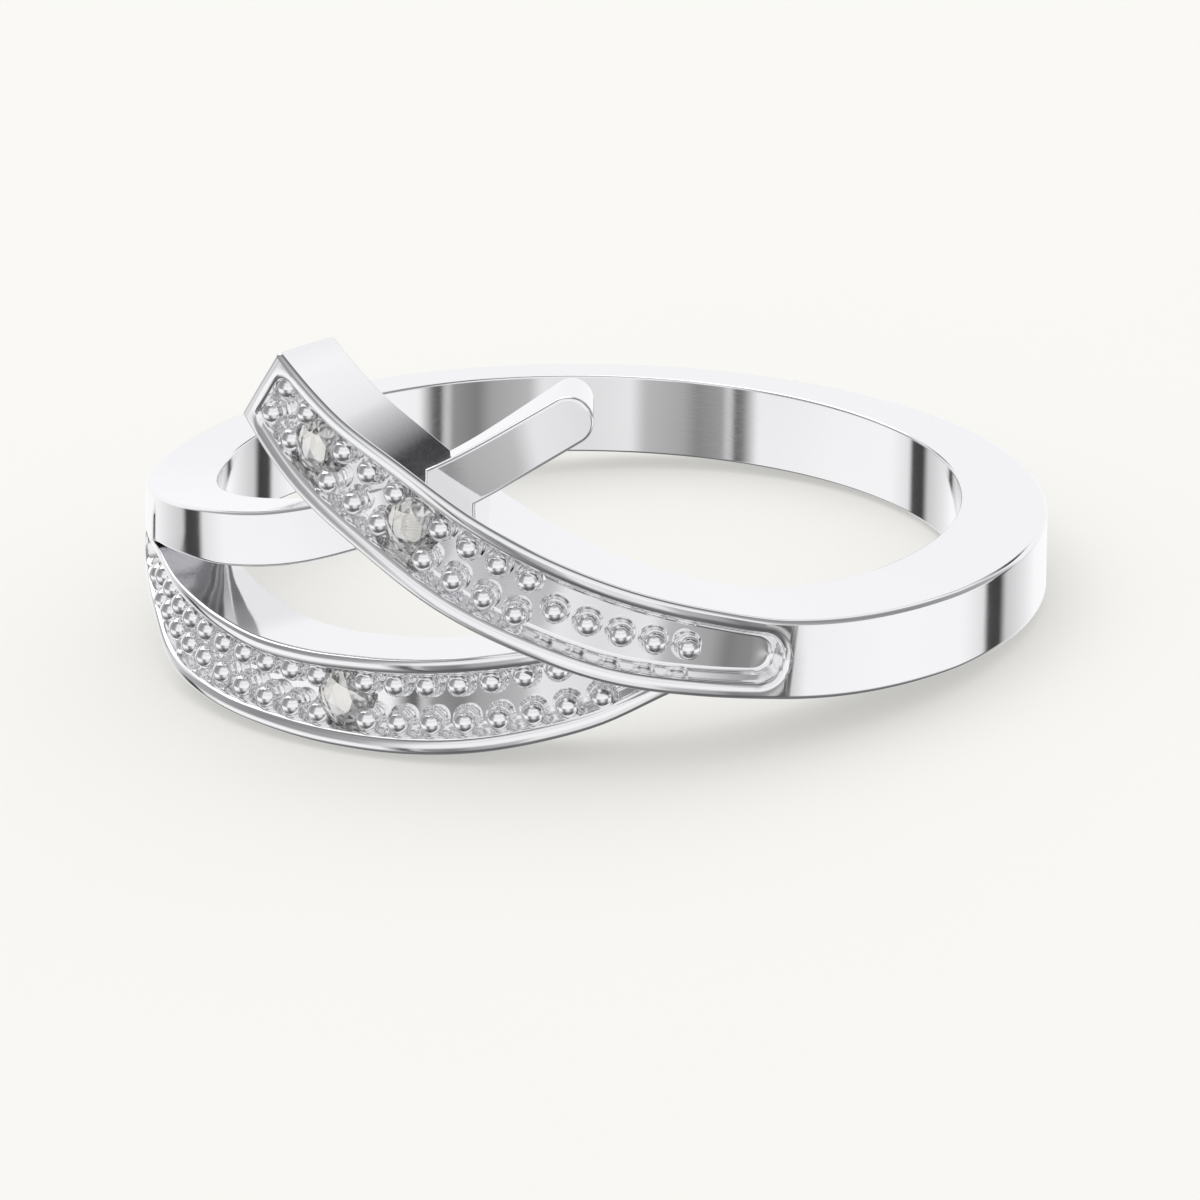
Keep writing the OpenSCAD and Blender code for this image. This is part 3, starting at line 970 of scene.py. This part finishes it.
def handling_marks():
    """Faint polishing lines and soft unevenness: a roughness and a height over the surface."""
    group, given, result = node_group(
        "handling_marks",
        [("Roughness", "NodeSocketFloat"), ("Height", "NodeSocketFloat")],
        [
            ("Vector", "NodeSocketVector", None),
            ("Scale", "NodeSocketFloat", 900.0),
            ("Low", "NodeSocketFloat", 0.05),
            ("High", "NodeSocketFloat", 0.12),
        ],
    )
    nodes, links = group.nodes, group.links
    broad = nodes.new("ShaderNodeTexNoise")
    broad.inputs["Detail"].default_value = 3
    fine = nodes.new("ShaderNodeTexNoise")
    fine.inputs["Detail"].default_value = 5
    stretch = nodes.new("ShaderNodeMapping")
    stretch.inputs["Scale"].default_value = LINE_STRETCH
    finer = nodes.new("ShaderNodeMath")
    finer.operation = "MULTIPLY"
    finer.inputs[1].default_value = FINE_TIMES
    links.new(given.outputs["Vector"], broad.inputs["Vector"])
    links.new(given.outputs["Scale"], broad.inputs["Scale"])
    links.new(given.outputs["Vector"], stretch.inputs["Vector"])
    links.new(stretch.outputs["Vector"], fine.inputs["Vector"])
    links.new(given.outputs["Scale"], finer.inputs[0])
    links.new(finer.outputs[0], fine.inputs["Scale"])
    mix = nodes.new("ShaderNodeMath")
    mix.operation = "MULTIPLY_ADD"
    mix.inputs[1].default_value = BROAD_SHARE
    links.new(broad.outputs["Fac"], mix.inputs[0])
    links.new(fine.outputs["Fac"], mix.inputs[2])
    spread = nodes.new("ShaderNodeMapRange")
    spread.inputs["From Min"].default_value = MARKS_RANGE[0]
    spread.inputs["From Max"].default_value = MARKS_RANGE[1]
    links.new(mix.outputs[0], spread.inputs["Value"])
    links.new(given.outputs["Low"], spread.inputs["To Min"])
    links.new(given.outputs["High"], spread.inputs["To Max"])
    links.new(spread.outputs["Result"], result.inputs["Roughness"])
    links.new(fine.outputs["Fac"], result.inputs["Height"])
    return group


MARKS = handling_marks()


def shaded(name):
    """A new material, with its nodes, its shader and the piece's own coordinates."""
    material = bpy.data.materials.new(name)
    material.use_nodes = True
    shader = material.node_tree.nodes["Principled BSDF"]
    where = material.node_tree.nodes.new("ShaderNodeTexCoord")
    return material, material.node_tree, shader, where


def marked(tree, shader, where, scale, low, high):
    """Gives a material the handling marks as its roughness, from low to high."""
    marks = tree.nodes.new("ShaderNodeGroup")
    marks.node_tree = MARKS
    for label, value in (("Scale", scale), ("Low", low), ("High", high)):
        marks.inputs[label].default_value = value
    tree.links.new(where.outputs["Object"], marks.inputs["Vector"])
    tree.links.new(marks.outputs["Roughness"], shader.inputs["Roughness"])
    return marks


def polished_metal():
    material, tree, shader, where = shaded("polished_silver")
    shader.inputs["Base Color"].default_value = (0.92, 0.92, 0.925, 1)
    shader.inputs["Metallic"].default_value = 1.0
    marks = marked(tree, shader, where, scale=700.0, low=0.04, high=0.10)
    bump = tree.nodes.new("ShaderNodeBump")
    bump.inputs["Strength"].default_value = 0.02
    bump.inputs["Distance"].default_value = 0.00002
    tree.links.new(marks.outputs["Height"], bump.inputs["Height"])
    tree.links.new(bump.outputs["Normal"], shader.inputs["Normal"])
    return material


def clear_stone():
    material, tree, shader, where = shaded("clear_cut_stone")
    shader.inputs["Base Color"].default_value = (0.94, 0.935, 0.92, 1)
    shader.inputs["Transmission Weight"].default_value = 1.0
    shader.inputs["IOR"].default_value = 2.4
    marked(tree, shader, where, scale=2500.0, low=0.0, high=0.015)
    return material


def table_top():
    material, tree, shader, where = shaded("pale_table")
    grain = tree.nodes.new("ShaderNodeTexNoise")
    grain.inputs["Scale"].default_value = 60.0
    tint = tree.nodes.new("ShaderNodeMix")
    tint.data_type = "RGBA"
    tint.inputs["A"].default_value = (0.43, 0.427, 0.412, 1)
    tint.inputs["B"].default_value = (0.44, 0.437, 0.422, 1)
    tree.links.new(where.outputs["Object"], grain.inputs["Vector"])
    tree.links.new(grain.outputs["Fac"], tint.inputs["Factor"])
    tree.links.new(tint.outputs["Result"], shader.inputs["Base Color"])
    shader.inputs["Roughness"].default_value = 0.9
    shader.inputs["Specular IOR Level"].default_value = 0.1
    shader.inputs["Emission Color"].default_value = (1.0, 0.992, 0.957, 1)
    shader.inputs["Emission Strength"].default_value = 0.43
    return material


# The ring


def finish_piece(piece, name, material):
    """Puts a piece where the part lies, with its place in its mesh, and gives it its finish."""
    piece.name = name
    piece.data.name = name
    piece.data.transform(REST)
    piece.data.materials.clear()
    piece.data.materials.append(material)


def stone_seats(arm_angles):
    """Where each stone sits, with its girdle's middle at the origin of its place."""
    seats = {
        "arm_end": (UPPER, UPPER.after(arm_angles[ARM_RUNS[0] - 1], STONE_D / 2)),
        "arm_middle": (UPPER, UPPER.after(arm_angles[sum(ARM_RUNS[:2]) - 1], STONE_D / 2)),
        "lower_arm": (LOWER_STRIP, LOWER_STONE_ANGLE),
    }
    return {k: upright(strip, a, 0, GIRDLE_LIFT) for k, (strip, a) in seats.items()}


# How strongly large faces settle the shading, of 100, and the angle past which a bead's edge
# stays sharp
FLAT_WEIGHT = 60
SHARP_ANGLE = 70


def build_ring():
    """All of the metal as one piece, and the places of its stone seats."""
    places, arm_angles = bead_places()
    seats = stone_seats(arm_angles)
    metal = strips(seats)
    pick(metal)
    bpy.ops.object.shade_smooth()
    metal.modifiers.new("flat_faces_stay_flat", "WEIGHTED_NORMAL").weight = FLAT_WEIGHT
    bpy.ops.object.modifier_apply(modifier="flat_faces_stay_flat")
    balls = beads(places)
    pick(balls)
    bpy.ops.object.shade_smooth_by_angle(angle=math.radians(SHARP_ANGLE))
    pick(metal, balls)
    bpy.ops.object.join()
    finish_piece(metal, "ring_polished", POLISHED)
    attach(metal, "root")
    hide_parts("ring_metal")
    return seats


def set_stones(seats):
    """Copies of the one brilliant, each in its seat."""
    cut = brilliant()
    for name, place in seats.items():
        stone = bpy.data.objects.new("stone", cut.data.copy())
        bpy.context.collection.objects.link(stone)
        stone.data.transform(place)
        finish_piece(stone, "brilliant_" + name, CLEAR)
        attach(stone, "root")
        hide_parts("stone_" + name)
    bpy.data.objects.remove(cut)


# The studio


# The table, in metres: its width, and how far it lies under the ring
TABLE_SIZE = 3
TABLE_DROP = 0.00001


def table():
    """The pale table top, which the polished metal doesn't reflect."""
    deselect()
    bpy.ops.mesh.primitive_plane_add(size=TABLE_SIZE, location=(0, 0, -TABLE_DROP))
    top = bpy.context.object
    top.name = "table"
    top.visible_glossy = False
    top.data.materials.append(table_top())


# The photograph's camera, in degrees, millimetres and pixels
CAMERA_TURN = 22
CAMERA_RISE = 18.47
CAMERA_ROLL = 0.756
CAMERA_FAR = 420
CAMERA_FOCUS_PX = 18040
CENTRE_PX = (589.10, 527.82)
PICTURE_PX = 1200
SENSOR_W = 36


def camera():
    """The photograph's view of the ring, from the right and a little above the band's plane."""
    turn = Matrix.Rotation(math.radians(CAMERA_TURN), 3, "Z")
    across = turn @ Vector((1, 0, 0))
    up = turn @ Vector((0, sind(CAMERA_RISE), cosd(CAMERA_RISE)))
    ahead = turn @ Vector((0, cosd(CAMERA_RISE), -sind(CAMERA_RISE)))
    right = across * cosd(CAMERA_ROLL) + up * sind(CAMERA_ROLL)
    top = up * cosd(CAMERA_ROLL) - across * sind(CAMERA_ROLL)
    per_px = CAMERA_FAR / CAMERA_FOCUS_PX
    off_x = (CENTRE_PX[0] - PICTURE_PX / 2) * per_px
    off_y = (PICTURE_PX / 2 - CENTRE_PX[1]) * per_px
    eye = Vector((0, 0, BAND_MID)) - ahead * CAMERA_FAR - right * off_x - top * off_y
    lens = bpy.data.cameras.new("camera")
    lens.sensor_width = SENSOR_W
    lens.lens = CAMERA_FOCUS_PX / PICTURE_PX * SENSOR_W
    lens.clip_start = 0.01
    lens.clip_end = 20
    held = bpy.data.objects.new("camera", lens)
    bpy.context.scene.collection.objects.link(held)
    turned = REST.to_3x3().normalized()
    axes = Matrix((turned @ right, turned @ top, turned @ -ahead)).transposed().to_4x4()
    held.matrix_world = Matrix.Translation(REST @ eye) @ axes
    bpy.context.scene.camera = held


# The one lamp, in metres and watts: its place, the point that it faces and its size
KEY_PLACE = Vector((-0.25, 0.15, 0.55))
KEY_AIM = Vector((0, 0, 0.003))
KEY_SIZE = 0.6
KEY_WATTS = 1.15


def key_light():
    """A large soft lamp from behind on the left, which draws the faint shadow."""
    lamp = bpy.data.lights.new("key", "AREA")
    lamp.shape = "RECTANGLE"
    lamp.size = lamp.size_y = KEY_SIZE
    lamp.energy = KEY_WATTS
    held = bpy.data.objects.new("key", lamp)
    bpy.context.scene.collection.objects.link(held)
    held.location = KEY_PLACE
    held.rotation_euler = (KEY_AIM - KEY_PLACE).to_track_quat("-Z", "Y").to_euler()


# Reflected room, level with the ring: angle from the camera's side as a share of a half turn, grey
ROOM = [
    (0.0, 0.78),
    (0.075, 0.85),
    (0.10, 0.50),
    (0.165, 0.38),
    (0.19, 0.22),
    (0.235, 0.30),
    (0.243, 0.60),
    (0.252, 0.58),
    (0.258, 0.08),
    (0.272, 0.15),
    (0.30, 0.95),
    (0.46, 1.0),
    (0.60, 0.98),
    (0.655, 0.80),
    (0.668, 0.07),
    (0.705, 0.05),
    (0.725, 0.62),
    (0.80, 0.85),
    (0.85, 1.0),
]

# Reflected sky: sine of the height, grey
SKY = [
    (0.0, 0.98),
    (0.31, 0.96),
    (0.42, 0.84),
    (0.52, 0.84),
    (0.62, 1.0),
    (0.72, 0.86),
    (0.87, 0.46),
    (1.0, 0.38),
]

# Reflected sky over the sides: angle from the camera's side as a share of a half turn, grey
SIDES = [
    (0.0, 1.0),
    (0.25, 0.95),
    (0.33, 0.42),
    (0.50, 0.30),
    (0.68, 0.45),
    (0.74, 1.0),
]

# Below the ring: sine of the depth, and how far it darkens to UNDER_GREY
UNDER = [(0.45, 0), (0.75, 0.9)]
UNDER_GREY = (0.10, 0.10, 0.105, 1)

# A dark gap in the far wall: how far it darkens to GAP_GREY, round the room as ROOM is and by
# the sine of the height
GAP_GREY = (0.03, 0.03, 0.032, 1)
GAP_AROUND = [(0.76, 0), (0.82, 0.97), (0.90, 0.97), (0.95, 0)]
GAP_HEIGHT = [(0.335, 0), (0.38, 1), (0.43, 1), (0.54, 0)]

# Sine of the height at which the room's walls begin to give way to the sky, and are gone
SKY_FROM = -0.26
SKY_FULL = -0.06

# The light that matt surfaces get from all round
OPEN_LIGHT = (1.0, 0.998, 0.99, 1)


def studio():
    """A bright room whose far walls leave upright grey and dark bands in the polished metal.

    Matt surfaces, which here is the table, are lit by plain white in its place.
    """
    world = bpy.data.worlds.new("studio")
    bpy.context.scene.world = world
    world.use_nodes = True
    nodes, links = world.node_tree.nodes, world.node_tree.links

    def number(operation, *inputs):
        node = nodes.new("ShaderNodeMath")
        node.operation = operation
        for i, value in enumerate(inputs):
            if isinstance(value, (int, float)):
                node.inputs[i].default_value = value
            else:
                links.new(value, node.inputs[i])
        return node.outputs[0]

    def greys(value, table):
        node = nodes.new("ShaderNodeValToRGB")
        stops = node.color_ramp.elements
        for i, (share, grey) in enumerate(table):
            stop = stops[i] if i < 2 else stops.new(share)
            stop.position = share
            stop.color = (grey, grey, grey * 1.01, 1)
        links.new(value, node.inputs["Fac"])
        return node.outputs["Color"]

    def blend(share, first, second):
        node = nodes.new("ShaderNodeMix")
        node.data_type = "RGBA"
        links.new(share, node.inputs["Factor"])
        for value, name in ((first, "A"), (second, "B")):
            if isinstance(value, tuple):
                node.inputs[name].default_value = value
            else:
                links.new(value, node.inputs[name])
        return node.outputs["Result"]

    where = nodes.new("ShaderNodeTexCoord")
    turned = nodes.new("ShaderNodeMapping")
    turned.inputs["Rotation"].default_value = (0, 0, -math.radians(CAMERA_TURN))
    links.new(where.outputs["Generated"], turned.inputs["Vector"])
    parts = nodes.new("ShaderNodeSeparateXYZ")
    links.new(turned.outputs["Vector"], parts.inputs["Vector"])
    x, y, z = (parts.outputs[k] for k in "XYZ")
    round_room = number(
        "DIVIDE", number("ARCTAN2", number("ABSOLUTE", x), number("MULTIPLY", y, -1.0)), math.pi
    )
    height = nodes.new("ShaderNodeMapRange")
    height.interpolation_type = "SMOOTHSTEP"
    height.inputs["From Min"].default_value = SKY_FROM
    height.inputs["From Max"].default_value = SKY_FULL
    links.new(z, height.inputs["Value"])
    sky = nodes.new("ShaderNodeMix")
    sky.data_type = "RGBA"
    sky.blend_type = "MULTIPLY"
    sky.inputs["Factor"].default_value = 1.0
    links.new(greys(z, SKY), sky.inputs["A"])
    links.new(greys(round_room, SIDES), sky.inputs["B"])
    room = blend(height.outputs["Result"], greys(round_room, ROOM), sky.outputs["Result"])
    down = number("MULTIPLY", z, -1.0)
    room = blend(greys(down, UNDER), room, UNDER_GREY)
    gap = number("MULTIPLY", greys(round_room, GAP_AROUND), greys(z, GAP_HEIGHT))
    room = blend(gap, room, GAP_GREY)
    ray = nodes.new("ShaderNodeLightPath")
    seen = blend(ray.outputs["Is Diffuse Ray"], room, OPEN_LIGHT)
    links.new(seen, nodes["Background"].inputs["Color"])
    nodes["Background"].inputs["Strength"].default_value = 1.0
    bpy.context.scene.view_settings.view_transform = "Standard"
    bpy.context.scene.cycles.glossy_bounces = 10
    bpy.context.scene.cycles.max_bounces = 16


POLISHED = polished_metal()
CLEAR = clear_stone()
set_stones(build_ring())
table()
camera()
key_light()
studio()
